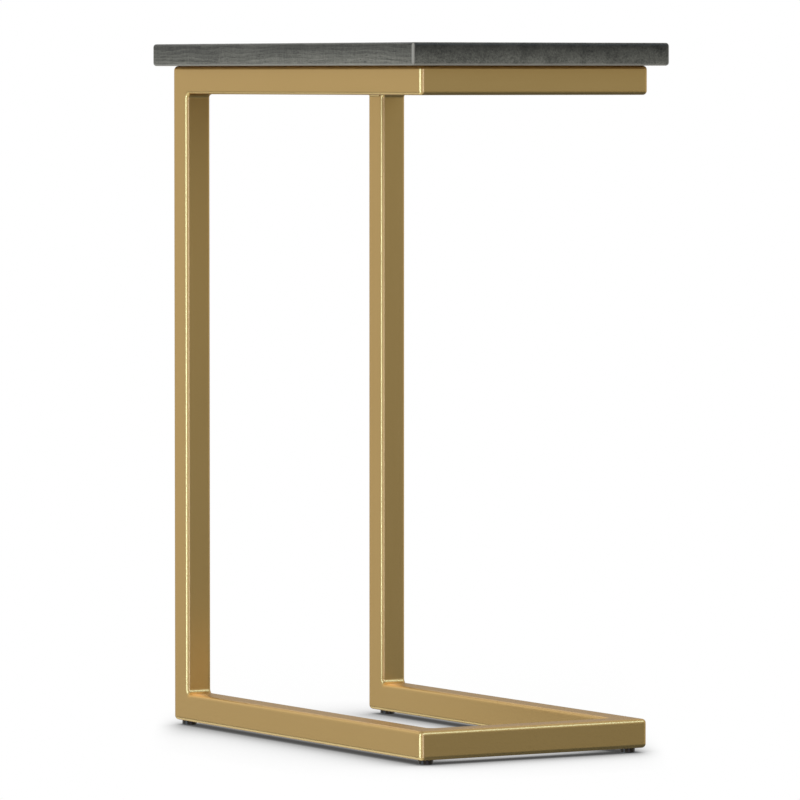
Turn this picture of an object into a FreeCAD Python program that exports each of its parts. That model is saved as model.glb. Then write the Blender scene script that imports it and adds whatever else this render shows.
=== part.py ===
import FreeCAD, Part
import math
import os

import Sketcher

# A C shaped side table: a solid wood top on a welded frame of square steel tube with screw feet.
# X runs along the long sides, from the posts (minus X) to the open end of the C (plus X).
# Y runs across, with the left side frame at minus Y, and Z is up from the floor.
# The origin is on the floor, under the middle of the top.

doc = FreeCAD.newDocument("c_side_table")

# Driving dimensions in millimetres
DIMENSIONS = (
    ("total_height", 610, "floor to the top of the wood"),
    ("top_length", 458, "wood top, along X"),
    ("top_width", 256, "wood top, along Y"),
    ("top_thickness", 19.5, "wood top, along Z"),
    ("middle_board_width", 86, "middle one of the three glued boards"),
    ("top_edge_radius", 2.8, "rounding of the wood edges"),
    ("end_overhang", 11.5, "wood past the frame at each end"),
    ("side_overhang", 14.5, "wood past the frame at each long side"),
    ("tube_size", 25, "square steel tube, outside"),
    ("tube_wall", 1.5, "wall of the tube"),
    ("tube_edge_radius", 3.5, "rounding of the tube's long edges"),
    ("tube_bore_radius", 2, "rounding of the tube's inside corners"),
    ("corner_radius", 4, "rounding of a welded corner, outside"),
    ("fillet_radius", 4, "ground weld in an inside corner"),
    ("weld_toe", 0.2, "edge thickness of the welds on the rear rail"),
    ("screw_from_middle", 140, "side rail screws, from the middle of the rail"),
    ("screw_diameter", 4.5, "wood screw over its thread"),
    ("screw_length", 15, "wood screw under its head"),
    ("screw_tip", 4, "pointed end of the screw"),
    ("screw_head_diameter", 8.5, "pan head"),
    ("screw_head_height", 3, "pan head"),
    ("screw_head_round", 1.5, "rounding of the pan head"),
    ("recess_span", 4.4, "cross recess, tip to tip"),
    ("recess_width", 1.1, "cross recess, one arm"),
    ("recess_depth", 1.8, "cross recess"),
    ("screw_clearance", 0.25, "screw to its hole in the tube, all round"),
    ("pilot_clearance", 0.05, "screw to its hole in the wood, all round"),
    ("driver_clearance", 1.5, "screw head to the access hole, all round"),
    ("front_foot_inset", 12.5, "front foot axes from the frame's outer faces"),
    ("rear_foot_inset", 10.5, "rear foot axes from the frame's outer faces"),
    ("pad_diameter", 13, "foot pad"),
    ("pad_height", 4.2, "foot pad, floor to rail"),
    ("pad_chamfer", 0.5, "bevel round the pad's floor face"),
    ("pad_floor", 1.2, "plastic under the stud"),
    ("stud_diameter", 6, "foot stud over its thread"),
    ("stud_reach", 15, "stud above the pad"),
    ("stud_chamfer", 0.6, "bevel at the stud's end"),
    ("thread_clearance", 0.1, "stud to nut and stud to pad, all round"),
    ("nut_diameter", 8.6, "blind rivet nut, body"),
    ("nut_length", 12, "blind rivet nut, inside the rail"),
    ("nut_flange_diameter", 10, "blind rivet nut, flange under the rail"),
    ("nut_flange_height", 0.6, "blind rivet nut, flange under the rail"),
    ("nut_bulge_diameter", 10.6, "collar that the setting tool upsets"),
    ("nut_bulge_height", 2.4, "collar that the setting tool upsets"),
    ("nut_clearance", 0.05, "rivet nut to its hole, all round"),
    ("flange_clearance", 0.3, "pad recess round and under the flange"),
)

sheet = doc.addObject("Spreadsheet::Sheet", "dims")
for row, (alias, size, meaning) in enumerate(DIMENSIONS, start=1):
    sheet.set(f"A{row}", meaning)
    sheet.set(f"B{row}", str(size))
    sheet.setAlias(f"B{row}", alias)
doc.recompute()

# Sizes and places that follow from the driving dimensions
FRAME_LENGTH = "(dims.top_length - 2 * dims.end_overhang)"
FRAME_WIDTH = "(dims.top_width - 2 * dims.side_overhang)"
FRAME_TOP = "(dims.total_height - dims.top_thickness)"
FRAME_HEIGHT = f"({FRAME_TOP} - dims.pad_height)"
REAR_RAIL_LENGTH = f"({FRAME_WIDTH} - 2 * dims.tube_size)"
OUTER_BOARD_WIDTH = "((dims.top_width - dims.middle_board_width) / 2)"
HALF_TUBE = "(dims.tube_size / 2)"
SIDE_AXIS = f"({FRAME_WIDTH} / 2 - {HALF_TUBE})"
END_AXIS = f"({FRAME_LENGTH} / 2 - {HALF_TUBE})"
SCREW_SEAT = f"({FRAME_TOP} - dims.tube_wall)"
SCREW_IN_WOOD = "(dims.screw_length - dims.tube_wall)"

# A 45 degree cut leaves this much of a corner's rounding on each of its two tubes
HALF_CORNER = "(dims.corner_radius * (1 - sqrt(0.5)))"
HALF_FILLET = "(dims.fillet_radius * (1 - sqrt(0.5)))"

# Leg of a concave weld that ends in a toe
WELD_LEG = "(dims.fillet_radius - sqrt(2 * dims.fillet_radius * dims.weld_toe - dims.weld_toe ^ 2))"

SIDES = {"left": 1, "right": -1}
SMOOTH_JOIN = 0.98
OBLIQUE = 0.1


def value(expression):
    """Length in millimetres that an expression stands for."""
    return float(sheet.evalExpression(expression))


def signed(sign, expression):
    """The expression, turned to the other side where the sign is negative."""
    if sign > 0:
        return expression
    return f"-({expression})"


def new_body(label, x="0", y="0", z="0"):
    """Empty body whose local origin stands at x, y, z."""
    body = doc.addObject("PartDesign::Body", label)
    body.Label = label
    for axis, place in zip("xyz", (x, y, z)):
        if place != "0":
            body.setExpression(f"Placement.Base.{axis}", place)
    return body


def new_sketch(body, plane, offset="0"):
    """Sketch on one of the body's own planes, lifted along the plane's normal."""
    sketch = body.newObject("Sketcher::SketchObject", f"{body.Name}_{plane}_sketch")
    support = next(item for item in body.Origin.OriginFeatures if item.Role == f"{plane}_Plane")
    sketch.AttachmentSupport = [(support, "")]
    sketch.MapMode = "FlatFace"
    if offset != "0":
        sketch.setExpression("AttachmentOffset.Base.z", offset)
    return sketch


def bind(sketch, constraint, expression):
    """Add a dimension to the sketch and tie it to an expression."""
    index = sketch.addConstraint(constraint)
    sketch.setExpression(f"Constraints[{index}]", expression)


def place_point(sketch, shape, point, across, up):
    """Hold one point of a sketched shape at two expressions from the origin."""
    for kind, axis, expression in (("DistanceX", -2, across), ("DistanceY", -1, up)):
        if expression == "0":
            sketch.addConstraint(Sketcher.Constraint("PointOnObject", shape, point, axis))
        elif value(expression) > 0:
            dimension = Sketcher.Constraint(kind, -1, 1, shape, point, value(expression))
            bind(sketch, dimension, expression)
        else:
            dimension = Sketcher.Constraint(kind, shape, point, -1, 1, -value(expression))
            bind(sketch, dimension, f"-({expression})")


def arc_between(start, end, radius, turn):
    """Arc from start to end, shorter than a half circle; turn is 1 for a left turn, -1 for a right one."""
    chord = end - start
    middle = (start + end) / 2
    to_left = FreeCAD.Vector(-chord.y, chord.x, 0).normalize()
    rise = math.sqrt(max(radius ** 2 - (chord.Length / 2) ** 2, 0))
    centre = middle + to_left * rise * turn
    first, last = (start, end) if turn > 0 else (end, start)
    angles = [math.atan2(point.y - centre.y, point.x - centre.x) for point in (first, last)]
    circle = Part.Circle(centre, FreeCAD.Vector(0, 0, 1), radius)
    return Part.ArcOfCircle(circle, angles[0], angles[1])


def draw_outline(sketch, corners):
    """Closed outline. A corner is (across, up) where a line follows it, and (across, up, radius,
    turn) where an arc does."""
    points = [FreeCAD.Vector(value(corner[0]), value(corner[1]), 0) for corner in corners]
    ends = []
    for index, corner in enumerate(corners):
        start = points[index]
        end = points[(index + 1) % len(points)]
        if len(corner) == 2:
            shape = sketch.addGeometry(Part.LineSegment(start, end))
            ends.append((shape, 1, 2))
        else:
            radius, turn = corner[2:]
            shape = sketch.addGeometry(arc_between(start, end, value(radius), turn))
            ends.append((shape, 1, 2) if turn > 0 else (shape, 2, 1))
    for index, corner in enumerate(corners):
        shape, start_point, end_point = ends[index]
        next_shape, next_start, _ = ends[(index + 1) % len(ends)]
        sketch.addConstraint(Sketcher.Constraint("Coincident", shape, end_point, next_shape, next_start))
        place_point(sketch, shape, start_point, corner[0], corner[1])
        if len(corner) > 2:
            bind(sketch, Sketcher.Constraint("Radius", shape, value(corner[2])), corner[2])


def draw_circle(sketch, across, up, diameter):
    """Circle of a given diameter round a point."""
    centre = FreeCAD.Vector(value(across), value(up), 0)
    circle = Part.Circle(centre, FreeCAD.Vector(0, 0, 1), value(diameter) / 2)
    shape = sketch.addGeometry(circle)
    place_point(sketch, shape, 3, across, up)
    bind(sketch, Sketcher.Constraint("Diameter", shape, value(diameter)), diameter)


def draw_rectangle(sketch, left, low, right, high):
    """Rectangle between two opposite corners."""
    draw_outline(sketch, ((left, low), (right, low), (right, high), (left, high)))


def add_pad(body, sketch, length, reverse=False):
    """Raise a sketch to a solid."""
    pad = body.newObject("PartDesign::Pad", f"{body.Name}_pad")
    pad.Profile = sketch
    pad.Reversed = reverse
    pad.setExpression("Length", length)
    doc.recompute()
    return pad


def add_pocket(body, sketch, depth=None, reverse=False):
    """Cut a sketch into the solid, right through both ways where no depth is given."""
    volume_before = body.Shape.Volume
    pocket = body.newObject("PartDesign::Pocket", f"{body.Name}_pocket")
    pocket.Profile = sketch
    pocket.Reversed = reverse
    if depth is None:
        pocket.Type = "ThroughAll"
        pocket.SideType = "Symmetric"
    else:
        pocket.setExpression("Length", depth)
    doc.recompute()
    if body.Shape.Volume > volume_before - 1e-6:
        raise RuntimeError(f"{pocket.Label} cuts nothing")
    return pocket


def add_turned(body, corners):
    """Solid of revolution about the local Z axis, from a half outline of (radius, height)."""
    sketch = new_sketch(body, "XZ")
    draw_outline(sketch, corners)
    turned = body.newObject("PartDesign::Revolution", f"{body.Name}_turned")
    turned.Profile = sketch
    turned.ReferenceAxis = (sketch, ["V_Axis"])
    turned.Angle = 360
    doc.recompute()
    return turned


def normals_along(shape, edge):
    """Normals of the two faces beside an edge, at its middle."""
    first, last = edge.ParameterRange
    point = edge.valueAt((first + last) / 2)
    faces = shape.ancestorsOfType(edge, Part.Face)
    return faces, [face.normalAt(*face.Surface.parameter(point)) for face in faces]


def is_mitre(face):
    """True for a flat face that is square to none of the axes."""
    if not isinstance(face.Surface, Part.Plane):
        return False
    normal = face.normalAt(0, 0)
    return sum(abs(part) > OBLIQUE for part in (normal.x, normal.y, normal.z)) > 1


def add_fillet(body, base, radius, wanted):
    """Round every sharp edge of the base feature that the test wants."""
    names = []
    for number, edge in enumerate(base.Shape.Edges, start=1):
        faces, normals = normals_along(base.Shape, edge)
        if normals[0].dot(normals[1]) < SMOOTH_JOIN and wanted(edge, faces):
            names.append(f"Edge{number}")
    fillet = body.newObject("PartDesign::Fillet", f"{body.Name}_fillet")
    fillet.Base = (base, names)
    fillet.setExpression("Radius", radius)
    doc.recompute()
    return fillet


def round_tube(body, base):
    """Round a tube's long edges, but not the edges of its welded ends."""
    add_fillet(body, base, "dims.tube_edge_radius", lambda edge, faces: not any(map(is_mitre, faces)))


def bore_tube(body, plane, across_sign=1, up_sign=1):
    """Hollow of a tube that runs square to the plane, with rounded inside corners."""
    low = "dims.tube_wall"
    high = "dims.tube_size - dims.tube_wall"
    round_low = f"{low} + dims.tube_bore_radius"
    round_high = f"{high} - dims.tube_bore_radius"
    turn = across_sign * up_sign
    arc = ("dims.tube_bore_radius", turn)
    corners = (
        (round_low, low), (round_high, low, *arc),
        (high, round_low), (high, round_high, *arc),
        (round_high, high), (round_low, high, *arc),
        (low, round_high), (low, round_low, *arc),
    )
    sketch = new_sketch(body, plane)
    draw_outline(sketch, [
        (signed(across_sign, corner[0]), signed(up_sign, corner[1]), *corner[2:]) for corner in corners
    ])
    add_pocket(body, sketch)


def drill(body, across, up, diameter, from_above=False):
    """Hole through the lower or the upper wall of a lying tube, as far as the tube's middle."""
    sketch = new_sketch(body, "XY", "dims.tube_size" if from_above else "0")
    draw_circle(sketch, across, up, diameter)
    add_pocket(body, sketch, HALF_TUBE, reverse=not from_above)


def drill_for_screw(body, across, up):
    """Access hole for the driver below, and clearance hole for the screw above."""
    drill(body, across, up, "dims.screw_head_diameter + 2 * dims.driver_clearance")
    drill(body, across, up, "dims.screw_diameter + 2 * dims.screw_clearance", from_above=True)


def drill_for_nut(body, across, up):
    """Hole in the lower wall for a rivet nut."""
    drill(body, across, up, "dims.nut_diameter + 2 * dims.nut_clearance")


# Three boards, glued edge to edge, with their grain along X
def make_board(label, y, width, glued_low, glued_high, holes):
    """Board of the top, rounded where its edges are free, with blind screw holes below."""
    body = new_body(label, "-dims.top_length / 2", y, FRAME_TOP)
    sketch = new_sketch(body, "XY")
    draw_rectangle(sketch, "0", "0", "dims.top_length", width)
    pad = add_pad(body, sketch, "dims.top_thickness")

    def free_edge(edge, faces):
        box = edge.BoundBox
        on_low = glued_low and box.YMax < value("dims.top_edge_radius")
        on_high = glued_high and box.YMin > value(width) - value("dims.top_edge_radius")
        return not (on_low or on_high)

    add_fillet(body, pad, "dims.top_edge_radius", free_edge)
    for across, up in holes:
        sketch = new_sketch(body, "XY")
        draw_circle(sketch, across, up, "dims.screw_diameter + 2 * dims.pilot_clearance")
        add_pocket(body, sketch, f"{SCREW_IN_WOOD} + dims.pilot_clearance", reverse=True)
    return body


SCREW_ACROSS_RAIL = f"dims.side_overhang + {HALF_TUBE}"
SIDE_SCREW_PLACES = [f"dims.top_length / 2 {sign} dims.screw_from_middle" for sign in "-+"]
END_SCREW_PLACES = [f"dims.top_length / 2 {sign} {END_AXIS}" for sign in "-+"]

boards = [
    make_board(
        "top_board_left", "-dims.top_width / 2", OUTER_BOARD_WIDTH, False, True,
        [(place, SCREW_ACROSS_RAIL) for place in SIDE_SCREW_PLACES],
    ),
    make_board(
        "top_board_middle", "-dims.middle_board_width / 2", "dims.middle_board_width", True, True,
        [(place, "dims.middle_board_width / 2") for place in END_SCREW_PLACES],
    ),
    make_board(
        "top_board_right", "dims.middle_board_width / 2", OUTER_BOARD_WIDTH, True, False,
        [(place, f"{OUTER_BOARD_WIDTH} - ({SCREW_ACROSS_RAIL})") for place in SIDE_SCREW_PLACES],
    ),
]


# Side rails: cut at 45 degrees for the post at the rear end, and for the cross rail at the front end
def make_side_rail(label, side, level):
    """Side rail of the top frame or of the base. The rail's local Y runs inwards."""
    inward = SIDES[side]
    z = f"{FRAME_TOP} - dims.tube_size" if level == "top" else "dims.pad_height"
    body = new_body(label, f"-{FRAME_LENGTH} / 2", signed(-inward, f"{FRAME_WIDTH} / 2"), z)

    def height(depth):
        """Local height of a point that lies this deep below the rail's outer face."""
        return f"dims.tube_size - ({depth})" if level == "top" else depth

    turn = -1 if level == "top" else 1
    side_view = new_sketch(body, "XZ")
    draw_outline(side_view, (
        (HALF_CORNER, height(HALF_CORNER), "dims.corner_radius", turn),
        ("dims.corner_radius", "dims.tube_size" if level == "top" else "0"),
        (FRAME_LENGTH, "dims.tube_size" if level == "top" else "0"),
        (FRAME_LENGTH, "0" if level == "top" else "dims.tube_size"),
        ("dims.tube_size + dims.fillet_radius", "0" if level == "top" else "dims.tube_size",
         "dims.fillet_radius", -turn),
        (f"dims.tube_size + {HALF_FILLET}", height(f"dims.tube_size + {HALF_FILLET}")),
    ))
    add_pad(body, side_view, "dims.tube_size + dims.fillet_radius", reverse=inward > 0)

    plan = new_sketch(body, "XY")
    margin = "dims.tube_size"
    draw_rectangle(
        plan, f"-2 * {margin}", signed(-inward, margin),
        f"{FRAME_LENGTH} + {margin}", signed(inward, f"dims.tube_size + dims.fillet_radius + {margin}"),
    )
    draw_outline(plan, (
        (f"-{margin}", "0"),
        (f"{FRAME_LENGTH} - dims.corner_radius", "0", "dims.corner_radius", inward),
        (f"{FRAME_LENGTH} - {HALF_CORNER}", signed(inward, HALF_CORNER)),
        (f"{FRAME_LENGTH} - dims.tube_size - {HALF_FILLET}",
         signed(inward, f"dims.tube_size + {HALF_FILLET}"), "dims.fillet_radius", -inward),
        (f"{FRAME_LENGTH} - dims.tube_size - dims.fillet_radius", signed(inward, "dims.tube_size")),
        (f"-{margin}", signed(inward, "dims.tube_size")),
    ))
    round_tube(body, add_pocket(body, plan))
    bore_tube(body, "YZ", inward)

    across = signed(inward, HALF_TUBE)
    if level == "top":
        for sign in "-+":
            drill_for_screw(body, f"{FRAME_LENGTH} / 2 {sign} dims.screw_from_middle", across)
    else:
        drill_for_nut(body, "dims.rear_foot_inset", signed(inward, "dims.rear_foot_inset"))
        drill_for_nut(body, f"{FRAME_LENGTH} - dims.front_foot_inset", signed(inward, "dims.front_foot_inset"))
    return body


# Posts: cut at 45 degrees at both ends
def make_post(label, side):
    """Upright at the rear of one side frame."""
    inward = SIDES[side]
    y = signed(-inward, f"{FRAME_WIDTH} / 2")
    body = new_body(label, f"-{FRAME_LENGTH} / 2", y, "dims.pad_height")
    arc_outside = ("dims.corner_radius", 1)
    arc_inside = ("dims.fillet_radius", -1)
    far = f"dims.tube_size + {HALF_FILLET}"
    side_view = new_sketch(body, "XZ")
    draw_outline(side_view, (
        ("0", "dims.corner_radius", *arc_outside),
        (HALF_CORNER, HALF_CORNER),
        (far, far, *arc_inside),
        ("dims.tube_size", "dims.tube_size + dims.fillet_radius"),
        ("dims.tube_size", f"{FRAME_HEIGHT} - dims.tube_size - dims.fillet_radius", *arc_inside),
        (far, f"{FRAME_HEIGHT} - ({far})"),
        (HALF_CORNER, f"{FRAME_HEIGHT} - {HALF_CORNER}", *arc_outside),
        ("0", f"{FRAME_HEIGHT} - dims.corner_radius"),
    ))
    round_tube(body, add_pad(body, side_view, "dims.tube_size", reverse=inward > 0))
    bore_tube(body, "XY", 1, inward)
    return body


# Front cross rails: cut at 45 degrees at both ends
def make_front_rail(label, level):
    """Cross rail at the open end of the C. The rail's local X runs out of the front."""
    z = f"{FRAME_TOP} - dims.tube_size" if level == "top" else "dims.pad_height"
    body = new_body(label, f"{FRAME_LENGTH} / 2", f"-{FRAME_WIDTH} / 2", z)
    arc_outside = ("dims.corner_radius", 1)
    arc_inside = ("dims.fillet_radius", -1)
    deep = f"dims.tube_size + {HALF_FILLET}"
    plan = new_sketch(body, "XY")
    draw_outline(plan, (
        (f"-{HALF_CORNER}", HALF_CORNER, *arc_outside),
        ("0", "dims.corner_radius"),
        ("0", f"{FRAME_WIDTH} - dims.corner_radius", *arc_outside),
        (f"-{HALF_CORNER}", f"{FRAME_WIDTH} - {HALF_CORNER}"),
        (f"-({deep})", f"{FRAME_WIDTH} - ({deep})", *arc_inside),
        ("-dims.tube_size", f"{FRAME_WIDTH} - dims.tube_size - dims.fillet_radius"),
        ("-dims.tube_size", "dims.tube_size + dims.fillet_radius", *arc_inside),
        (f"-({deep})", deep),
    ))
    round_tube(body, add_pad(body, plan, "dims.tube_size"))
    bore_tube(body, "XZ", -1)
    if level == "top":
        drill_for_screw(body, f"-{HALF_TUBE}", f"{FRAME_WIDTH} / 2")
    else:
        for along in ("dims.front_foot_inset", f"{FRAME_WIDTH} - dims.front_foot_inset"):
            drill_for_nut(body, "-dims.front_foot_inset", along)
    return body


# Rear cross rail: square cut, welded between the side frames with small concave welds
def make_rear_rail(label):
    """Cross rail between the tops of the posts."""
    body = new_body(
        label, f"-{FRAME_LENGTH} / 2", f"-{REAR_RAIL_LENGTH} / 2", f"{FRAME_TOP} - dims.tube_size",
    )
    section = new_sketch(body, "XZ")
    draw_rectangle(section, "0", "0", "dims.tube_size", "dims.tube_size")
    pad = add_pad(body, section, REAR_RAIL_LENGTH, reverse=True)
    add_fillet(
        body, pad, "dims.tube_edge_radius",
        lambda edge, faces: edge.BoundBox.YLength > value(REAR_RAIL_LENGTH) / 2,
    )

    weld_length = "dims.tube_size - 2 * dims.tube_edge_radius"
    weld_start = "dims.tube_edge_radius"
    for from_end in (lambda y: y, lambda y: f"{REAR_RAIL_LENGTH} - ({y})"):
        turn = 1 if from_end("0") == "0" else -1
        end = "0" if turn > 0 else REAR_RAIL_LENGTH
        below = new_sketch(body, "YZ", weld_start)
        draw_outline(below, (
            (end, "dims.tube_wall"),
            (end, f"-({WELD_LEG})"),
            (from_end("dims.weld_toe"), f"-({WELD_LEG})", "dims.fillet_radius", -turn),
            (from_end(WELD_LEG), "-dims.weld_toe"),
            (from_end(WELD_LEG), "dims.tube_wall"),
        ))
        add_pad(body, below, weld_length)
        ahead = new_sketch(body, "XY", weld_start)
        draw_outline(ahead, (
            ("dims.tube_size - dims.tube_wall", end),
            (f"dims.tube_size + {WELD_LEG}", end),
            (f"dims.tube_size + {WELD_LEG}", from_end("dims.weld_toe"), "dims.fillet_radius", -turn),
            ("dims.tube_size + dims.weld_toe", from_end(WELD_LEG)),
            ("dims.tube_size - dims.tube_wall", from_end(WELD_LEG)),
        ))
        add_pad(body, ahead, weld_length)
    bore_tube(body, "XZ")
    drill_for_screw(body, HALF_TUBE, f"{REAR_RAIL_LENGTH} / 2")
    return body


frame = [make_side_rail(f"{side}_top_rail", side, "top") for side in SIDES]
frame += [make_front_rail("front_top_rail", "top"), make_rear_rail("rear_top_rail")]
frame += [make_post(f"{side}_post", side) for side in SIDES]
frame += [make_side_rail(f"{side}_base_rail", side, "base") for side in SIDES]
frame += [make_front_rail("front_base_rail", "base")]


# Wood screws that hold the top, driven up through the rails, with their heads inside the tubes
def make_screw(label, x, y):
    """Pan head wood screw, head down, with a cross recess."""
    body = new_body(label, x, y, SCREW_SEAT)
    head_radius = "dims.screw_head_diameter / 2"
    shank_radius = "dims.screw_diameter / 2"
    add_turned(body, (
        ("0", "-dims.screw_head_height"),
        (f"{head_radius} - dims.screw_head_round", "-dims.screw_head_height", "dims.screw_head_round", 1),
        (head_radius, "dims.screw_head_round - dims.screw_head_height"),
        (head_radius, "0"),
        (shank_radius, "0"),
        (shank_radius, "dims.screw_length - dims.screw_tip"),
        ("0", "dims.screw_length"),
    ))
    for along, across in (("recess_span", "recess_width"), ("recess_width", "recess_span")):
        sketch = new_sketch(body, "XY", "-dims.screw_head_height")
        draw_rectangle(
            sketch, f"-dims.{along} / 2", f"-dims.{across} / 2", f"dims.{along} / 2", f"dims.{across} / 2",
        )
        add_pocket(body, sketch, "dims.recess_depth", reverse=True)
    return body


def make_group(label, members):
    """Like pieces under one name."""
    group = doc.addObject("Part::Compound", label)
    group.Label = label
    group.Links = members
    return group


screw_places = [(f"{x} dims.screw_from_middle", f"{y} {SIDE_AXIS}") for x in "-+" for y in "-+"]
screw_places += [(f"{x} {END_AXIS}", "0") for x in "-+"]
screws = [make_screw(f"top_screw_{number}", *place) for number, place in enumerate(screw_places, start=1)]


# Screw feet: a rivet nut set in the rail, and a stud and a plastic pad that turn and travel together
def make_nut(label, x, y):
    """Blind rivet nut, its flange under the rail and its collar upset above the rail's wall."""
    body = new_body(label, x, y, "dims.pad_height")
    bore = "dims.stud_diameter / 2 + dims.thread_clearance"
    shell = "dims.nut_diameter / 2"
    flange = "dims.nut_flange_diameter / 2"
    bulge = "dims.nut_bulge_diameter / 2"
    bulge_top = "dims.tube_wall + dims.nut_bulge_height"
    add_turned(body, (
        (bore, "-dims.nut_flange_height"),
        (flange, "-dims.nut_flange_height"),
        (flange, "0"),
        (shell, "0"),
        (shell, "dims.tube_wall"),
        (bulge, "dims.tube_wall"),
        (shell, bulge_top),
        (shell, "dims.nut_length"),
        (bore, "dims.nut_length"),
    ))
    return body


def make_stud(label, x, y):
    """Threaded stud, its foot moulded into the pad."""
    body = new_body(label, x, y, "dims.pad_floor")
    radius = "dims.stud_diameter / 2"
    length = "dims.pad_height - dims.pad_floor + dims.stud_reach"
    add_turned(body, (
        ("0", "0"),
        (radius, "0"),
        (radius, f"{length} - dims.stud_chamfer"),
        (f"{radius} - dims.stud_chamfer", length),
        ("0", length),
    ))
    return body


def make_pad(label, x, y):
    """Round pad with a socket for the stud and a recess that clears the nut's flange."""
    body = new_body(label, x, y)
    socket = "dims.stud_diameter / 2 + dims.thread_clearance"
    recess = "dims.nut_flange_diameter / 2 + dims.flange_clearance"
    recess_floor = "dims.pad_height - dims.nut_flange_height - dims.flange_clearance"
    rim = "dims.pad_diameter / 2"
    add_turned(body, (
        ("0", "0"),
        (f"{rim} - dims.pad_chamfer", "0"),
        (rim, "dims.pad_chamfer"),
        (rim, "dims.pad_height"),
        (recess, "dims.pad_height"),
        (recess, recess_floor),
        (socket, recess_floor),
        (socket, "dims.pad_floor"),
        ("0", "dims.pad_floor"),
    ))
    return body


def foot_place(end, side):
    """X and Y of the foot at one corner of the base."""
    x = f"{FRAME_LENGTH} / 2 - dims.{end}_foot_inset"
    y = f"{FRAME_WIDTH} / 2 - dims.{end}_foot_inset"
    return signed(1 if end == "front" else -1, x), signed(-SIDES[side], y)


foot_places = {f"{end}_{side}_foot": foot_place(end, side) for end in ("front", "rear") for side in SIDES}
nuts = [make_nut(f"{name}_nut", *place) for name, place in foot_places.items()]
studs = [make_stud(f"{name}_stud", *place) for name, place in foot_places.items()]
pads = [make_pad(f"{name}_pad", *place) for name, place in foot_places.items()]

groups = [make_group("top_fixing_screws", screws), make_group("foot_rivet_nuts", nuts)]
doc.recompute()

pieces = boards + frame + groups + studs + pads
for item in doc.Objects:
    if "Invalid" in item.State or "Error" in item.State:
        raise RuntimeError(f"{item.Label} failed: {item.State}")
for piece in pieces:
    if piece.Shape.isNull() or not piece.Shape.isValid():
        raise RuntimeError(f"{piece.Label} has no valid shape")

os.makedirs("parts", exist_ok=True)
for piece in pieces:
    piece.Shape.exportStep(f"parts/{piece.Label}.step")
    print(f"{piece.Label}: {len(piece.Shape.Solids)} solid(s), {piece.Shape.Volume:.0f} mm3")
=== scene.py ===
import math
from functools import partial

import bmesh
import bpy
from mathutils import Matrix, Vector


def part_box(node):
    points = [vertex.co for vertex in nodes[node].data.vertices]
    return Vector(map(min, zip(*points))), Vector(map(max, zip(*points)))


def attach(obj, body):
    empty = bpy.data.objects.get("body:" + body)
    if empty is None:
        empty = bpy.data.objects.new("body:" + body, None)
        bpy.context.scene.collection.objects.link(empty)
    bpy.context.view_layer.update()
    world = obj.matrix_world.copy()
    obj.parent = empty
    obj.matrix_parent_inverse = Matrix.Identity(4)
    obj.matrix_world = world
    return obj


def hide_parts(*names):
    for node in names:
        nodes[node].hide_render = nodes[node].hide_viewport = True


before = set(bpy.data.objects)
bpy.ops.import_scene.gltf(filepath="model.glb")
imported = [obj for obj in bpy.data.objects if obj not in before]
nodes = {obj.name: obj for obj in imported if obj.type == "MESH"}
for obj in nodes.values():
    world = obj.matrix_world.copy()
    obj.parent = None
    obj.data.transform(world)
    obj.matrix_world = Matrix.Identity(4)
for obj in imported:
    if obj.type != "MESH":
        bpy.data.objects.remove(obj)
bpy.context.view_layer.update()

# Welded frame: two C shaped side frames of square steel tube, tied by cross rails at the front, top and
# bottom, and at the rear of the top. The tubes are cut to fit, welded and ground smooth, then brushed
# along their length and plated satin gold under a thin lacquer.
TUBES_BY_DIRECTION = {
    "x": ("left_top_rail", "right_top_rail", "left_base_rail", "right_base_rail"),
    "y": ("front_top_rail", "rear_top_rail", "front_base_rail"),
    "z": ("left_post", "right_post"),
}
GOLD = (0.432, 0.294, 0.114, 1.0)
GOLD_DEEP = (0.406, 0.273, 0.102, 1.0)
GOLD_ROUGHNESS = (0.32, 0.36)
GOLD_EDGE_TINT = (1.0, 0.86, 0.74, 1.0)
BRUSH_LINES_PER_METRE = 900.0
BRUSH_LINE_STRETCH = 60.0
BRUSH_CLOUDS_PER_METRE = 9.0
BRUSH_STRENGTH = 0.003
BRUSH_DEPTH = 0.0002
MIDDLE_OF_NOISE = (0.25, 0.75)


def fill(tree, socket, term):
    """Link an input socket, if the term is a socket, or else set its value."""
    if isinstance(term, bpy.types.NodeSocket):
        tree.links.new(term, socket)
    else:
        socket.default_value = term


def feed(tree, node, **terms):
    """Fill the named input sockets of a node."""
    for name, term in terms.items():
        fill(tree, node.inputs[name.replace("_", " ")], term)


def add_node(tree, kind, **terms):
    """New node of a tree, with its named input sockets filled."""
    node = tree.nodes.new(kind)
    feed(tree, node, **terms)
    return node


def calc(tree, operation, *terms):
    """Result socket of one sum; a term is a socket or a number."""
    node = tree.nodes.new("ShaderNodeMath")
    node.operation = operation
    for socket, term in zip(node.inputs, terms):
        fill(tree, socket, term)
    return node.outputs[0]


def calc_vector(tree, operation, *terms, result="Vector"):
    """Result socket of one sum of vectors; a term is a socket or a vector."""
    node = tree.nodes.new("ShaderNodeVectorMath")
    node.operation = operation
    for socket, term in zip(node.inputs, terms):
        fill(tree, socket, term)
    return node.outputs[result]


def remap(tree, socket, start, end, low=0.0, high=1.0, interpolation="LINEAR"):
    """Value socket that takes the range from start to end to the range from low to high."""
    span = add_node(
        tree, "ShaderNodeMapRange", Value=socket, From_Min=start, From_Max=end, To_Min=low, To_Max=high,
    )
    span.interpolation_type = interpolation
    return span.outputs["Result"]


def blend_colours(tree, factor, first, second):
    """Colour socket that runs from the first colour to the second; either may be a socket or a value."""
    mix = tree.nodes.new("ShaderNodeMix")
    mix.data_type = "RGBA"
    for index, term in ((0, factor), (6, first), (7, second)):
        fill(tree, mix.inputs[index], term)
    return mix.outputs[2]


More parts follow.
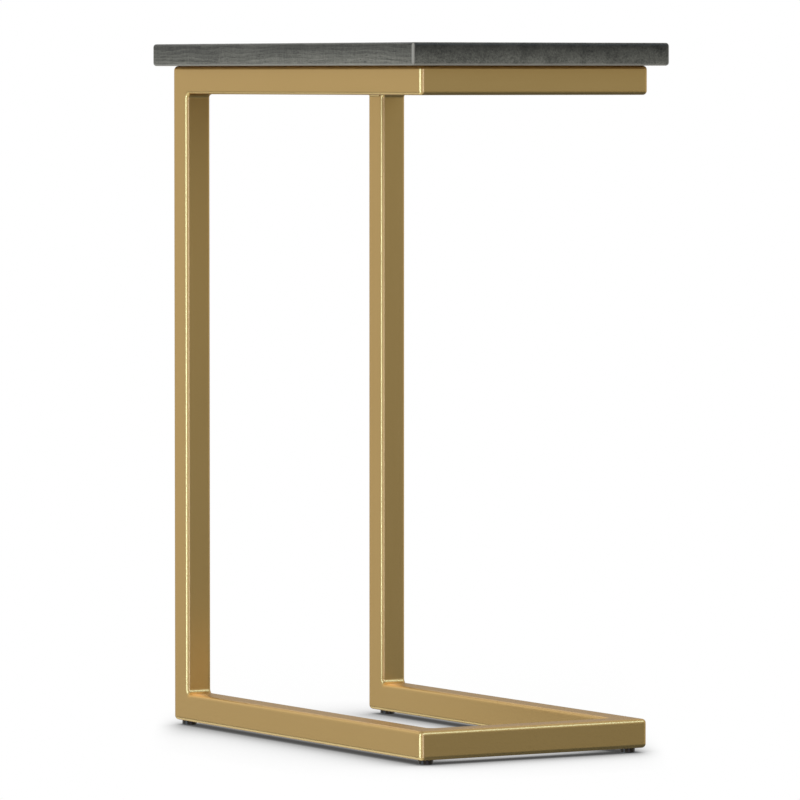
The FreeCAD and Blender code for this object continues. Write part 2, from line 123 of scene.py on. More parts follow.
def blend_values(tree, factor, first, second):
    """Value socket that runs from the first value to the second."""
    mix = tree.nodes.new("ShaderNodeMix")
    for index, term in ((0, factor), (2, first), (3, second)):
        fill(tree, mix.inputs[index], term)
    return mix.outputs[0]


def make_group(name, inputs, outputs):
    """Empty shader node group with its sockets; returns the tree, its inlet sockets and its outlet."""
    tree = bpy.data.node_groups.new(name, "ShaderNodeTree")
    for socket, kind in inputs:
        tree.interface.new_socket(socket, in_out="INPUT", socket_type=kind)
    for socket, kind in outputs:
        tree.interface.new_socket(socket, in_out="OUTPUT", socket_type=kind)
    return tree, tree.nodes.new("NodeGroupInput").outputs, tree.nodes.new("NodeGroupOutput")


def use_group(tree, group, **terms):
    """Output sockets of a shader node group that is placed in a material."""
    node = tree.nodes.new("ShaderNodeGroup")
    node.node_tree = group
    feed(tree, node, **terms)
    return node.outputs


def new_material(name):
    """Material with an empty principled surface; returns it with its tree, shader and place socket."""
    material = bpy.data.materials.new(name)
    material.use_nodes = True
    tree = material.node_tree
    shader = tree.nodes["Principled BSDF"]
    place = tree.nodes.new("ShaderNodeTexCoord").outputs["Object"]
    return material, tree, shader, place


def dress(node_name, material):
    """Give a CAD node one material."""
    mesh = nodes[node_name].data
    mesh.materials.clear()
    mesh.materials.append(material)


# Fine parallel lines along local X, with broad soft clouds, for anything brushed, drawn or rolled
line_group, line_in, line_out = make_group(
    "drawn_lines",
    (("Vector", "NodeSocketVector"), ("Lines per Metre", "NodeSocketFloat"),
     ("Stretch", "NodeSocketFloat"), ("Clouds per Metre", "NodeSocketFloat")),
    (("Lines", "NodeSocketFloat"), ("Clouds", "NodeSocketFloat")),
)
lines_across = line_in["Lines per Metre"]
lines_along = calc(line_group, "DIVIDE", lines_across, line_in["Stretch"])
line_scale = add_node(line_group, "ShaderNodeCombineXYZ", X=lines_along, Y=lines_across, Z=lines_across)
line_place = calc_vector(line_group, "MULTIPLY", line_in["Vector"], line_scale.outputs["Vector"])
line_noise = add_node(
    line_group, "ShaderNodeTexNoise", Vector=line_place, Scale=1.0, Detail=3.0, Roughness=0.6,
)
cloud_noise = add_node(
    line_group, "ShaderNodeTexNoise", Vector=line_in["Vector"], Scale=line_in["Clouds per Metre"],
    Detail=2.0, Roughness=0.5,
)
feed(line_group, line_out, Lines=line_noise.outputs["Fac"], Clouds=cloud_noise.outputs["Fac"])

# A pattern along local X is turned to run along the tube
TURN_TO_DIRECTION = {"x": (0, 0, 0), "y": (0, 0, math.radians(-90)), "z": (0, math.radians(90), 0)}


def make_satin_gold(direction):
    """Brushed, plated and lacquered steel, its lines along one axis."""
    material, tree, shader, place = new_material(f"satin_gold_along_{direction}")
    turned = add_node(tree, "ShaderNodeMapping", Vector=place, Rotation=TURN_TO_DIRECTION[direction])
    brush = use_group(
        tree, line_group, Vector=turned.outputs["Vector"], Lines_per_Metre=BRUSH_LINES_PER_METRE,
        Stretch=BRUSH_LINE_STRETCH, Clouds_per_Metre=BRUSH_CLOUDS_PER_METRE,
    )
    brushed = blend_colours(tree, brush["Lines"], GOLD_DEEP, GOLD)
    bump = add_node(
        tree, "ShaderNodeBump", Height=brush["Lines"], Strength=BRUSH_STRENGTH, Distance=BRUSH_DEPTH,
    )
    feed(
        tree, shader, Base_Color=blend_colours(tree, brush["Clouds"], brushed, GOLD),
        Roughness=remap(tree, brush["Lines"], *MIDDLE_OF_NOISE, *GOLD_ROUGHNESS),
        Normal=bump.outputs["Normal"], Metallic=1.0, Specular_Tint=GOLD_EDGE_TINT,
    )
    return material


for direction, tube_names in TUBES_BY_DIRECTION.items():
    gold = make_satin_gold(direction)
    for tube_name in tube_names:
        dress(tube_name, gold)

# Rivet nuts: blind steel nuts, zinc plated, set in the lower wall of the base rails after welding.
# Only their thin flanges show, inside the recess on top of each foot pad.
ZINC = (0.56, 0.57, 0.58, 1.0)
ZINC_DULL = (0.42, 0.43, 0.45, 1.0)
ZINC_ROUGHNESS = (0.25, 0.45)
ZINC_LINES_PER_METRE = 1500.0
ZINC_LINE_STRETCH = 2.0
ZINC_CLOUDS_PER_METRE = 260.0
zinc, zinc_tree, zinc_shader, zinc_place = new_material("bright_zinc")
plating = use_group(
    zinc_tree, line_group, Vector=zinc_place, Lines_per_Metre=ZINC_LINES_PER_METRE,
    Stretch=ZINC_LINE_STRETCH, Clouds_per_Metre=ZINC_CLOUDS_PER_METRE,
)
feed(
    zinc_tree, zinc_shader, Base_Color=blend_colours(zinc_tree, plating["Clouds"], ZINC_DULL, ZINC),
    Roughness=remap(zinc_tree, plating["Lines"], *MIDDLE_OF_NOISE, *ZINC_ROUGHNESS), Metallic=1.0,
)
dress("foot_rivet_nuts", zinc)

# Foot studs: M6 threaded steel, each with its lower end moulded into a pad. The thread is rolled, with
# its 1 mm pitch, and the end is bevelled so that it starts in the nut.
FEET = [f"{end}_{side}_foot" for end in ("front", "rear") for side in ("left", "right")]
THREAD_PITCH = 0.001
THREAD_DEPTH = 0.00055
THREAD_ROWS_PER_PITCH = 8
THREAD_SIDES = 32
STUD_BEVEL = 0.0006
MERGE_DISTANCE = 1e-6


def make_thread_tree():
    """Geometry tree of a threaded rod that stands on its place, with flat ends and a bevelled tip."""
    tree = bpy.data.node_groups.new("threaded_rod", "GeometryNodeTree")
    for socket, kind in (
        ("Place", "NodeSocketVector"), ("Length", "NodeSocketFloat"), ("Radius", "NodeSocketFloat"),
        ("Pitch", "NodeSocketFloat"), ("Depth", "NodeSocketFloat"), ("Bevel", "NodeSocketFloat"),
        ("Rows", "NodeSocketInt"), ("Sides", "NodeSocketInt"), ("Finish", "NodeSocketMaterial"),
    ):
        tree.interface.new_socket(socket, in_out="INPUT", socket_type=kind)
    tree.interface.new_socket("Geometry", in_out="OUTPUT", socket_type="NodeSocketGeometry")
    inlet = tree.nodes.new("NodeGroupInput").outputs
    outlet = tree.nodes.new("NodeGroupOutput")
    sum_of = partial(calc, tree)

    # The grid is wrapped into a rod: turns run along X, rows along Y, and a row more at each end closes it
    grid = add_node(
        tree, "GeometryNodeMeshGrid", Size_X=1.0, Size_Y=1.0,
        Vertices_X=sum_of("ADD", inlet["Sides"], 1), Vertices_Y=sum_of("ADD", inlet["Rows"], 3),
    )
    position = tree.nodes.new("GeometryNodeInputPosition").outputs["Position"]
    split = add_node(tree, "ShaderNodeSeparateXYZ", Vector=position).outputs
    turn = sum_of("ADD", split["X"], 0.5)
    row_share = sum_of("ADD", split["Y"], 0.5)
    row = sum_of("SUBTRACT", sum_of("MULTIPLY", row_share, sum_of("ADD", inlet["Rows"], 2)), 1)
    above_end = sum_of("GREATER_THAN", row, -0.5)
    below_end = sum_of("LESS_THAN", row, sum_of("ADD", inlet["Rows"], 0.5))
    inside = sum_of("MULTIPLY", above_end, below_end)
    share = sum_of("MINIMUM", sum_of("MAXIMUM", sum_of("DIVIDE", row, inlet["Rows"]), 0), 1)
    height = sum_of("MULTIPLY", share, inlet["Length"])

    # One ridge climbs a pitch in each turn
    climb = sum_of("FRACT", sum_of("SUBTRACT", sum_of("DIVIDE", height, inlet["Pitch"]), turn))
    flank = sum_of("MULTIPLY", sum_of("ABSOLUTE", sum_of("SUBTRACT", climb, 0.5)), 2)
    thread = sum_of("SUBTRACT", inlet["Radius"], sum_of("MULTIPLY", flank, inlet["Depth"]))
    tip_radius = sum_of("SUBTRACT", inlet["Radius"], inlet["Bevel"])
    tip = sum_of("ADD", tip_radius, sum_of("SUBTRACT", inlet["Length"], height))
    radius = sum_of("MULTIPLY", sum_of("MINIMUM", thread, tip), inside)
    angle = sum_of("MULTIPLY", turn, 2 * math.pi)
    point = add_node(
        tree, "ShaderNodeCombineXYZ", X=sum_of("MULTIPLY", radius, sum_of("COSINE", angle)),
        Y=sum_of("MULTIPLY", radius, sum_of("SINE", angle)), Z=height,
    )

    placed = calc_vector(tree, "ADD", point.outputs["Vector"], inlet["Place"])
    shaped = add_node(tree, "GeometryNodeSetPosition", Geometry=grid.outputs["Mesh"], Position=placed)
    closed = add_node(
        tree, "GeometryNodeMergeByDistance", Geometry=shaped.outputs["Geometry"], Distance=MERGE_DISTANCE,
    )
    whole = add_node(tree, "GeometryNodeRealizeInstances", Geometry=closed.outputs["Geometry"])
    finished = add_node(
        tree, "GeometryNodeSetMaterial", Geometry=whole.outputs["Geometry"], Material=inlet["Finish"],
    )
    feed(tree, outlet, Geometry=finished.outputs["Geometry"])
    return tree


def grow(name, tree, values):
    """Plain mesh object that a geometry tree makes from named values."""
    piece = bpy.data.objects.new(name, bpy.data.meshes.new(name))
    bpy.context.scene.collection.objects.link(piece)
    modifier = piece.modifiers.new(name, "NODES")
    modifier.node_group = tree
    for item in tree.interface.items_tree:
        if item.in_out == "INPUT":
            modifier[item.identifier] = values[item.name]
    mesh = bpy.data.meshes.new_from_object(piece.evaluated_get(bpy.context.evaluated_depsgraph_get()))
    piece.modifiers.remove(modifier)
    piece.data = mesh
    shell = bmesh.new()
    shell.from_mesh(mesh)
    bmesh.ops.recalc_face_normals(shell, faces=shell.faces)
    shell.to_mesh(mesh)
    shell.free()
    return piece


thread_tree = make_thread_tree()
for foot in FEET:
    low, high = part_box(f"{foot}_stud")
    length = high.z - low.z
    stud = grow(f"{foot}_threaded_stud", thread_tree, {
        "Place": ((low.x + high.x) / 2, (low.y + high.y) / 2, low.z),
        "Length": length,
        "Radius": (high.x - low.x) / 2,
        "Pitch": THREAD_PITCH,
        "Depth": THREAD_DEPTH,
        "Bevel": STUD_BEVEL,
        "Rows": round(length / THREAD_PITCH * THREAD_ROWS_PER_PITCH),
        "Sides": THREAD_SIDES,
        "Finish": zinc,
    })
    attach(stud, f"{foot}_stud")
    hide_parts(f"{foot}_stud")

# Foot pads: small round glides of black nylon, moulded over the studs. They touch the rails when the
# feet are screwed right in.
NYLON = (0.005, 0.005, 0.005, 1.0)
NYLON_WORN = (0.013, 0.013, 0.013, 1.0)
NYLON_ROUGHNESS = (0.30, 0.42)
NYLON_SHINE = 0.25
NYLON_SHINE_TINT = (1.0, 0.80, 0.60, 1.0)
NYLON_GRAINS_PER_METRE = 1800.0
nylon, nylon_tree, nylon_shader, nylon_place = new_material("black_nylon")
nylon_grain = add_node(
    nylon_tree, "ShaderNodeTexNoise", Vector=nylon_place, Scale=NYLON_GRAINS_PER_METRE, Detail=2.0,
).outputs["Fac"]
feed(
    nylon_tree, nylon_shader, Base_Color=blend_colours(nylon_tree, nylon_grain, NYLON, NYLON_WORN),
    Roughness=remap(nylon_tree, nylon_grain, *MIDDLE_OF_NOISE, *NYLON_ROUGHNESS),
    Specular_IOR_Level=NYLON_SHINE, Specular_Tint=NYLON_SHINE_TINT,
)
for foot in FEET:
    dress(f"{foot}_pad", nylon)

# Wood top: three boards of solid wood, glued edge to edge, sanded with rounded edges, stained dark grey
# and finished with a satin varnish. The end grain drinks more stain and comes out darker.
BOARDS = {
    # name: place in its log, tone of the edges, tone of the upper face
    "top_board_left": (Vector((0.31, 0.105, -0.540)), 1.00, 1.30),
    "top_board_middle": (Vector((1.27, -0.012, -0.545)), 0.98, 1.12),
    "top_board_right": (Vector((2.45, -0.115, -0.530)), 0.93, 1.24),
}
WOOD_DARK = (0.010, 0.0104, 0.0088, 1.0)
WOOD_LIGHT = (0.112, 0.113, 0.098, 1.0)
WOOD_PORE = (0.012, 0.012, 0.011, 1.0)
# Pale colour of the painted highlights on the upright and lower edges
WOOD_EDGE_HIGHLIGHT = (0.240, 0.236, 0.214, 1.0)
# Unstained underside, painted pale as if lit
WOOD_BARE_AND_LIT = (0.360, 0.280, 0.185, 1.0)
WOOD_BARE_AND_LIT_FIBRE = (0.252, 0.196, 0.1295, 1.0)
WOOD_ROUGHNESS = (0.46, 0.36)
WOOD_SHINE = 0.1
FIBRE_STRENGTH = 0.25
FIBRE_DEPTH = 0.0003

# Painted shade of an edge face, as a factor on its colour at its lower and at its upper rim
SIDE_PAINTED_SHADE = (1.84, 0.62)
END_PAINTED_SHADE = (1.77, 0.29)

# How far a face has to turn before it counts as an end, a lid, an edge with a painted highlight or the
# underside
FACE_TURN = (0.5, 0.95)
UPRIGHT_HIGHLIGHT_TURN = (0.15, 0.50)
LOWER_HIGHLIGHT_TURN = (-0.25, -0.70)
LOWER_EDGE_HIGHLIGHT = 0.60
UNDERSIDE_TURN = (-0.9, -1.0)

# Ranges of the grain that run from dark to light wood, and from open pore to none
FIGURE_RANGE = (0.39, 0.89)
PORE_RANGE = (0.30, 0.40)
PORE_SHARE = 0.6

BEND_SCALE = (16.0, 34.0, 34.0)
BEND_REACH = (0.0, 0.010, 0.010)
RING_STRETCH = (0.10, 1.0, 1.0)
RINGS = {"Scale": 90.0, "Distortion": 6.0, "Detail": 3.0, "Detail_Scale": 0.35, "Detail_Roughness": 0.55}
GRAIN_NOISES = {
    # name: scale along X, Y and Z, detail, roughness
    "fibres": ((24.0, 480.0, 480.0), 4.0, 0.65),
    "vessels": ((500.0, 700.0, 700.0), 1.0, 0.5),
    "patches": ((9.0, 45.0, 60.0), 3.0, 0.55),
    "broad_flecks": ((300.0, 60.0, 60.0), 2.0, 0.6),
    "fine_flecks": ((900.0, 160.0, 160.0), 3.0, 0.6),
    "pores": ((70.0, 1500.0, 1500.0), 1.0, 0.5),
}
FIGURE_WEIGHTS = {"rings": 0.13, "fibres": 0.30, "patches": 0.42, "broad_flecks": 0.20, "vessels": 0.25}
SPECKLE_WEIGHTS = {"rings": 0.04, "fibres": 0.26, "patches": 0.40, "fine_flecks": 0.24, "vessels": 0.36}

grain_group, grain_in, grain_out = make_group(
    "board_grain",
    (("Vector", "NodeSocketVector"),),
    (("Figure", "NodeSocketFloat"), ("Speckle", "NodeSocketFloat"), ("Fibres", "NodeSocketFloat"),
     ("Pores", "NodeSocketFloat")),
)


def stretched_noise(place, scale, detail, roughness):
    """Noise node of the board group, with its own scale along each axis."""
    stretched = add_node(grain_group, "ShaderNodeMapping", Vector=place, Scale=scale)
    return add_node(
        grain_group, "ShaderNodeTexNoise", Vector=stretched.outputs["Vector"], Scale=1.0,
        Detail=detail, Roughness=roughness,
    )


def weighted_sum(weights):
    """Value socket of the board group that adds its grains, each times its weight."""
    total = 0.0
    for grain_name, weight in weights.items():
        total = calc(grain_group, "MULTIPLY_ADD", grains[grain_name], weight, total)
    return total


# The grain waves up and down and from side to side as it runs along the board
bend_noise = stretched_noise(grain_in["Vector"], BEND_SCALE, 2.0, 0.5)
bent_place = calc_vector(
    grain_group, "MULTIPLY_ADD", bend_noise.outputs["Color"], BEND_REACH, grain_in["Vector"],
)

# Growth rings round the pith, with long fibres, broad patches, cross flecks, vessels and pores
ring_place = add_node(grain_group, "ShaderNodeMapping", Vector=bent_place, Scale=RING_STRETCH)
ring_wave = add_node(grain_group, "ShaderNodeTexWave", Vector=ring_place.outputs["Vector"], **RINGS)
ring_wave.wave_type = "RINGS"
ring_wave.rings_direction = "X"
ring_wave.wave_profile = "SAW"
grains = {"rings": ring_wave.outputs["Fac"]}
for grain_name, (scale, detail, roughness) in GRAIN_NOISES.items():
    grains[grain_name] = stretched_noise(bent_place, scale, detail, roughness).outputs["Fac"]
feed(
    grain_group, grain_out, Figure=weighted_sum(FIGURE_WEIGHTS), Speckle=weighted_sum(SPECKLE_WEIGHTS),
    Fibres=grains["fibres"], Pores=grains["pores"],
)


def make_grey_wood(name, shift, edge_tone, top_tone):
    """Stained board, cut from its own place in the log, a little darker or lighter than the next."""
    material, tree, shader, place = new_material(f"grey_stain_on_{name}")
    shifted = add_node(tree, "ShaderNodeMapping", Vector=place, Location=shift)
    grain = use_group(tree, grain_group, Vector=shifted.outputs["Vector"])
    normal = tree.nodes.new("ShaderNodeTexCoord").outputs["Normal"]
    facing = add_node(tree, "ShaderNodeSeparateXYZ", Vector=normal).outputs
    turned = calc_vector(tree, "ABSOLUTE", normal)
    slope = add_node(tree, "ShaderNodeSeparateXYZ", Vector=turned).outputs

    # Faces that look along X cut across the fibres and show their speckled ends
    end_mask = remap(tree, slope["X"], *FACE_TURN)
    drawn = blend_values(tree, end_mask, grain["Figure"], grain["Speckle"])
    figured = blend_colours(tree, remap(tree, drawn, *FIGURE_RANGE), WOOD_DARK, WOOD_LIGHT)
    pore_mask = remap(tree, grain["Pores"], *PORE_RANGE, PORE_SHARE, 0.0)
    pored = blend_colours(tree, pore_mask, figured, WOOD_PORE)

    # Painted shade: the edges are painted darker towards their upper rim and paler low down, and the end
    # grain, which takes more stain, gets a deeper painted shade
    height = add_node(tree, "ShaderNodeSeparateXYZ", Vector=place).outputs["Z"]
    low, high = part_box(name)
    side_tone_and_shade, end_tone_and_shade = (
        remap(tree, height, low.z, high.z, edge_tone * low_shade, edge_tone * high_shade)
        for low_shade, high_shade in (SIDE_PAINTED_SHADE, END_PAINTED_SHADE)
    )
    # The upper face keeps its own tone, lighter than the painted shade of the upper rims, so the rounding
    # between them gets a painted pale highlight
    lid_mask = remap(tree, facing["Z"], *FACE_TURN)
    tone = blend_values(tree, lid_mask, blend_values(tree, end_mask, side_tone_and_shade, end_tone_and_shade), top_tone)
    stained = tree.nodes.new("ShaderNodeVectorMath")
    stained.operation = "SCALE"
    fill(tree, stained.inputs[0], pored)
    feed(tree, stained, Scale=tone)

    # Painted highlights: upright and lower edges are painted paler, where they would catch light
    upright_highlight = remap(tree, calc(tree, "MINIMUM", slope["X"], slope["Y"]), *UPRIGHT_HIGHLIGHT_TURN)
    lower_highlight = remap(tree, facing["Z"], *LOWER_HIGHLIGHT_TURN, 0.0, LOWER_EDGE_HIGHLIGHT)
    painted_highlight_mask = calc(tree, "MAXIMUM", upright_highlight, lower_highlight)
    with_painted_highlight = blend_colours(tree, painted_highlight_mask, stained.outputs["Vector"], WOOD_EDGE_HIGHLIGHT)

    # The underside is sealed but not stained, and painted pale as if lit where the overhang shades it, which
    # the rail tops reflect
    underside_mask = remap(tree, facing["Z"], *UNDERSIDE_TURN)
    bare_and_lit = blend_colours(tree, grain["Fibres"], WOOD_BARE_AND_LIT, WOOD_BARE_AND_LIT_FIBRE)
    bump = add_node(
        tree, "ShaderNodeBump", Height=grain["Fibres"], Strength=FIBRE_STRENGTH, Distance=FIBRE_DEPTH,
    )
    feed(
        tree, shader, Base_Color=blend_colours(tree, underside_mask, with_painted_highlight, bare_and_lit),
        Roughness=remap(tree, grain["Fibres"], *MIDDLE_OF_NOISE, *WOOD_ROUGHNESS),
        Normal=bump.outputs["Normal"], Specular_IOR_Level=WOOD_SHINE,
    )
    return material


for board, (shift, edge_tone, top_tone) in BOARDS.items():
    dress(board, make_grey_wood(board, shift, edge_tone, top_tone))

# Top screws: six zinc plated pan head wood screws, driven up through holes in the rails, with their heads
# inside the tubes.
dress("top_fixing_screws", zinc)

# Floor and studio: a white floor with a shadow mostly painted from occlusion over a little real shadow, in a
# white room. Soft boxes light the wood and the floor, and cards and strips that only reflections show give
# the metal its faces and bright edges.
FLOOR_SIZE = 60.0
FLOOR_WHITE = (0.94, 0.94, 0.94, 1.0)
FLOOR_ROUGHNESS = 0.9
WHITE = (1.0, 1.0, 1.0, 1.0)
BLACK = (0.0, 0.0, 0.0, 1.0)
# Painted shadow: seen directly, the floor is mostly an emission, darkened by how much of the nearby sky the
# table hides
PAINTED_SHADOW_REACH = 0.13
PAINTED_SHADOW_POWER = 1.6
PAINTED_SHADOW_GREY = (0.040, 0.043, 0.048, 1.0)
PAINTED_SHADOW_SHARE = 0.94

# The painted shadow fades to white with the distance from the middle, and beside the table along one
# direction
FADE_FROM_MIDDLE = (0.45, 0.95)
FADE_DIRECTION = Vector((0.507, 0.862, 0.0))
FADE_ALONG_DIRECTION = (0.197, 0.227)
ROOM_AMBIENT = (0.80, 0.80, 0.80, 1.0)


def towards(azimuth, elevation=0.0):
    """Unit vector to an azimuth, counted from minus Y towards plus X, and an elevation, in degrees."""
    around = math.radians(azimuth)
    up = math.radians(elevation)
    return Vector((math.sin(around) * math.cos(up), -math.cos(around) * math.cos(up), math.sin(up)))


def seen_directly(tree):
    """Mask of the rays that show a background: from the camera, off gloss or through glass."""
    path = tree.nodes.new("ShaderNodeLightPath").outputs
    camera_or_gloss = calc(tree, "MAXIMUM", path["Is Camera Ray"], path["Is Glossy Ray"])
    return calc(tree, "MAXIMUM", camera_or_gloss, path["Is Transmission Ray"])


def blend_shaders(tree, factor, first, second):
    """Shader socket that runs from the first shader to the second."""
    mix = add_node(tree, "ShaderNodeMixShader", Fac=factor)
    tree.links.new(first, mix.inputs[1])
    tree.links.new(second, mix.inputs[2])
    return mix.outputs["Shader"]


def hide_back(tree, front, faded=0.0):
    """Show only the front of a stage piece: it is seen through from behind, and where it is faded."""
    backfacing = tree.nodes.new("ShaderNodeNewGeometry").outputs["Backfacing"]
    hidden = calc(tree, "MAXIMUM", backfacing, faded)
    see_through = tree.nodes.new("ShaderNodeBsdfTransparent").outputs["BSDF"]
    one_sided = blend_shaders(tree, hidden, front, see_through)
    feed(tree, tree.nodes["Material Output"], Surface=one_sided)


def make_stage(name, corners, material):
    """Flat stage piece with four corners."""
    mesh = bpy.data.meshes.new(name)
    mesh.from_pydata([tuple(corner) for corner in corners], [], [(0, 1, 2, 3)])
    mesh.materials.append(material)
    piece = bpy.data.objects.new(name, mesh)
    bpy.context.scene.collection.objects.link(piece)
    return piece


def level_corners(x_low, x_high, y_low, y_high, level):
    """Corners of a level rectangle."""
    return (x_low, y_low, level), (x_high, y_low, level), (x_high, y_high, level), (x_low, y_high, level)


def upright_corners(middle, azimuth, half_width, low, high):
    """Corners of an upright rectangle that faces an azimuth, between two heights over its middle."""
    side = towards(azimuth + 90) * half_width
    down = Vector((0, 0, low))
    up = Vector((0, 0, high))
    return middle - side + down, middle + side + down, middle + side + up, middle - side + up


floor_white, floor_tree, floor_shader, floor_place = new_material("white_floor")
feed(
    floor_tree, floor_shader, Base_Color=FLOOR_WHITE, Roughness=FLOOR_ROUGHNESS, Specular_IOR_Level=0.0,
)
# Painted shadow from occlusion, laid over the floor's real shading where the floor is seen directly
openness = add_node(floor_tree, "ShaderNodeAmbientOcclusion", Distance=PAINTED_SHADOW_REACH).outputs["AO"]
painted_shadow_depth = calc(floor_tree, "POWER", openness, PAINTED_SHADOW_POWER)
from_middle = calc_vector(floor_tree, "LENGTH", floor_place, result="Value")
away = remap(floor_tree, from_middle, *FADE_FROM_MIDDLE, interpolation="SMOOTHSTEP")
across = calc_vector(floor_tree, "DOT_PRODUCT", floor_place, FADE_DIRECTION, result="Value")
beside = remap(
    floor_tree, calc(floor_tree, "ABSOLUTE", across), *FADE_ALONG_DIRECTION, interpolation="SMOOTHSTEP",
)
cleared = calc(floor_tree, "MAXIMUM", away, beside)
shaded = blend_colours(floor_tree, painted_shadow_depth, PAINTED_SHADOW_GREY, WHITE)
glow = add_node(
    floor_tree, "ShaderNodeEmission", Color=blend_colours(floor_tree, cleared, shaded, WHITE), Strength=1.0,
)
painted_shadow_weight = remap(floor_tree, cleared, 0.0, 1.0, PAINTED_SHADOW_SHARE, 1.0)
floor_seen = blend_shaders(
    floor_tree, calc(floor_tree, "MULTIPLY", painted_shadow_weight, seen_directly(floor_tree)),
    floor_shader.outputs["BSDF"], glow.outputs["Emission"],
)
hide_back(floor_tree, floor_seen)
half = FLOOR_SIZE / 2
floor = make_stage("floor", level_corners(-half, half, -half, half, 0.0), floor_white)
floor.visible_glossy = False

world = bpy.data.worlds.new("studio")
bpy.context.scene.world = world
world.use_nodes = True
room = world.node_tree
room_colour = blend_colours(room, seen_directly(room), ROOM_AMBIENT, WHITE)
feed(room, room.nodes["Background"], Color=room_colour)

COOL = (0.85, 1.25, 1.90, 1.0)
PEARL = (0.95, 1.05, 1.85, 1.0)
CREAM = (1.0, 0.99, 0.88, 1.0)
AMBER = (1.0, 0.76, 0.46, 1.0)
PALE = (0.86, 1.0, 1.12, 1.0)
UPRIGHT_CARDS = {
    # name: colour, azimuth, distance, half width, low and high edge, brightness at the low and the high edge
    "key_strip": (COOL, 5.0, 20.0, 3.5, (-12.0, 17.0), (5.8, 5.8)),
    "side_strip": (PEARL, 84.0, 20.0, 2.2, (-12.0, 17.0), (3.1, 3.1)),
    "right_wall": (CREAM, 122.0, 6.0, 3.5, (-1.8, 1.75), (0.37, 0.69)),
    "right_high_strip": (COOL, 124.0, 20.0, 12.0, (13.4, 21.8), (3.6, 3.6)),
    "left_high_strip": (WHITE, 272.0, 20.0, 12.0, (7.0, 14.0), (1.6, 1.6)),
    "back_wall": (WHITE, 240.0, 2.5, 1.6, (-1.5, 0.9), (0.42, 0.42)),
    "left_wall": (WHITE, 300.0, 6.0, 2.7, (-1.4, 1.6), (0.93, 1.04)),
    "left_dim_wall": (WHITE, 300.0, 6.0, 4.0, (-2.4, -1.4), (0.15, 0.15)),
}
LEVEL_CARDS = {
    # name: lowest and highest X, lowest and highest Y, level, brightness
    "dim_low_card": (-1.0, 2.0, 0.08, 2.5, -0.5, 0.2),
    "left_low_card": (-6.0, 0.5, -4.5, 0.15, -2.4, 1.90),
}

# Cards as bright as this are lamps to the renderer, and it finds dimmer ones by reflection alone
LAMP_BRIGHTNESS = 3.0


def make_card(name, colour, corners, edges, brightness):
    """Card that only reflections show, shaded from its low to its high edge."""
    paper, tree, shader, place = new_material(name)
    height = add_node(tree, "ShaderNodeSeparateXYZ", Vector=place).outputs["Z"]
    feed(
        tree, shader, Base_Color=BLACK, Specular_IOR_Level=0.0, Emission_Color=colour,
        Emission_Strength=remap(tree, height, *edges, *brightness),
    )
    if max(brightness) < LAMP_BRIGHTNESS:
        paper.cycles.emission_sampling = "NONE"
    piece = make_stage(name, corners, paper)
    piece.visible_camera = False
    piece.visible_diffuse = False
    piece.visible_shadow = False
    return tree, shader, place


for name, (colour, azimuth, distance, half_width, edges, brightness) in UPRIGHT_CARDS.items():
    corners = upright_corners(towards(azimuth) * distance, azimuth, half_width, *edges)
    make_card(name, colour, corners, edges, brightness)
for name, (*sides, level, brightness) in LEVEL_CARDS.items():
    make_card(name, PALE, level_corners(*sides, level), (level - 1.0, level), (brightness, brightness))

# Painted reflections: small amber cards, seen only in reflections, glow where the base rails throw warm
# light back on the foot of the left post, and where both posts do on their rails
GLOWS = {
    # name: middle, azimuth that it faces, reach, brightness
    "rail_glow": (Vector((-0.040, -0.011, 0.027)), 265.0, 0.075, 1.0),
    "left_corner_glow": (Vector((-0.1915, -0.107, 0.038)), 90.0, 0.018, 1.9),
    "right_corner_glow": (Vector((-0.1915, 0.095, 0.038)), 90.0, 0.018, 1.9),
}
for name, (middle, azimuth, reach, brightness) in GLOWS.items():
    glow_tree, glow_shader, glow_place = make_card(
        name, AMBER, upright_corners(middle, azimuth, reach, -reach, reach),
        (middle.z - reach, middle.z + reach), (brightness, brightness),
    )
    from_middle = calc_vector(glow_tree, "DISTANCE", glow_place, middle, result="Value")
    faded = remap(glow_tree, from_middle, 0.0, reach, interpolation="SMOOTHSTEP")
    hide_back(glow_tree, glow_shader.outputs["BSDF"], faded)

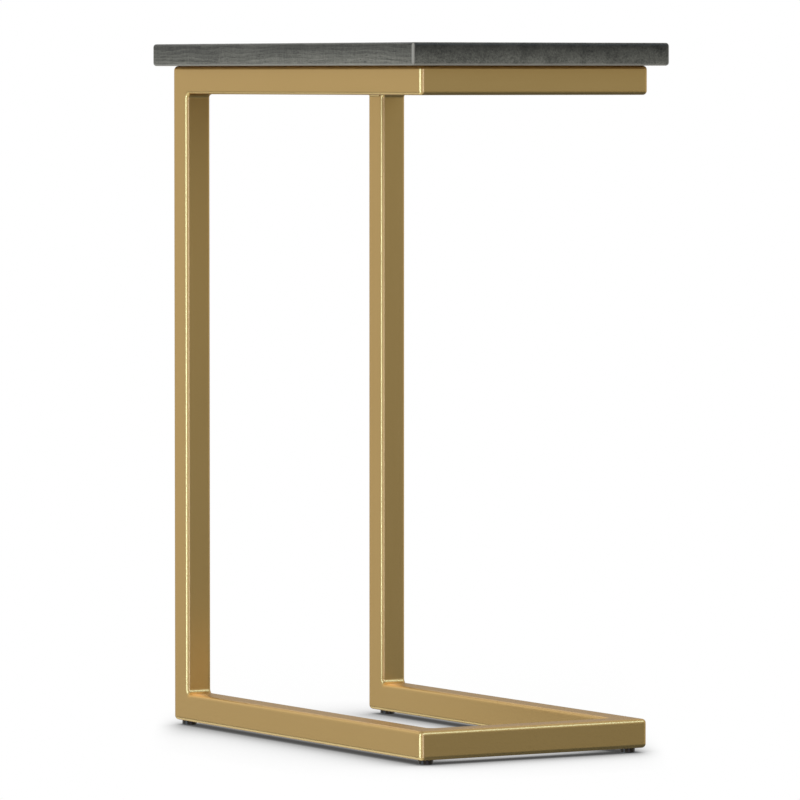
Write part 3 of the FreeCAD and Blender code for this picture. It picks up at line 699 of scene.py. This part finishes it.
SOFT_BOXES = {
    # name: azimuth, elevation, distance, width, height, brightness of its face
    "key": (4.0, 12.0, 2.2, 0.7, 1.6, 4.0),
    "side": (82.0, 12.0, 2.2, 0.5, 1.6, 1.6),
    "overhead": (30.0, 80.0, 2.2, 1.6, 1.6, 1.7),
}
LIGHT_AIM = Vector((0.0, 0.0, 0.32))
for name, (azimuth, elevation, distance, width, height, face) in SOFT_BOXES.items():
    lamp = bpy.data.lights.new(name, "AREA")
    lamp.shape = "RECTANGLE"
    lamp.size = width
    lamp.size_y = height
    lamp.energy = face * math.pi * width * height
    soft_box = bpy.data.objects.new(name, lamp)
    outward = towards(azimuth, elevation)
    soft_box.location = LIGHT_AIM + outward * distance
    soft_box.rotation_euler = outward.to_track_quat("Z", "Y").to_euler()
    soft_box.visible_camera = False
    soft_box.visible_glossy = False
    bpy.context.scene.collection.objects.link(soft_box)

# Camera: a long lens in front of the open end and to its left, about as high as the top of the frame and
# aimed slightly down at the middle of the table.
CAMERA_AZIMUTH = 59.533
CAMERA_PITCH = 2.730
CAMERA_DISTANCE = 5.9636
CAMERA_AIM_SIDEWAYS = -0.004807
CAMERA_AIM_HEIGHT = 0.297650
CAMERA_REACH = 200.0
FOCAL_PIXELS = 6796.0
IMAGE_PIXELS = 800.0
SENSOR_MM = 36.0
camera_data = bpy.data.cameras.new("camera")
camera_data.sensor_width = SENSOR_MM
camera_data.lens = FOCAL_PIXELS * SENSOR_MM / IMAGE_PIXELS
camera_data.clip_end = CAMERA_REACH
camera = bpy.data.objects.new("camera", camera_data)
bpy.context.scene.collection.objects.link(camera)
right = Vector((math.cos(math.radians(CAMERA_AZIMUTH)), math.sin(math.radians(CAMERA_AZIMUTH)), 0.0))
backward = towards(CAMERA_AZIMUTH, CAMERA_PITCH)
upward = backward.cross(right)
camera_aim = right * CAMERA_AIM_SIDEWAYS + Vector((0, 0, CAMERA_AIM_HEIGHT))
camera_place = camera_aim + backward * CAMERA_DISTANCE
camera.matrix_world = Matrix((
    (right.x, upward.x, backward.x, camera_place.x),
    (right.y, upward.y, backward.y, camera_place.y),
    (right.z, upward.z, backward.z, camera_place.z),
    (0, 0, 0, 1),
))
bpy.context.scene.camera = camera
bpy.context.scene.view_settings.view_transform = "Standard"
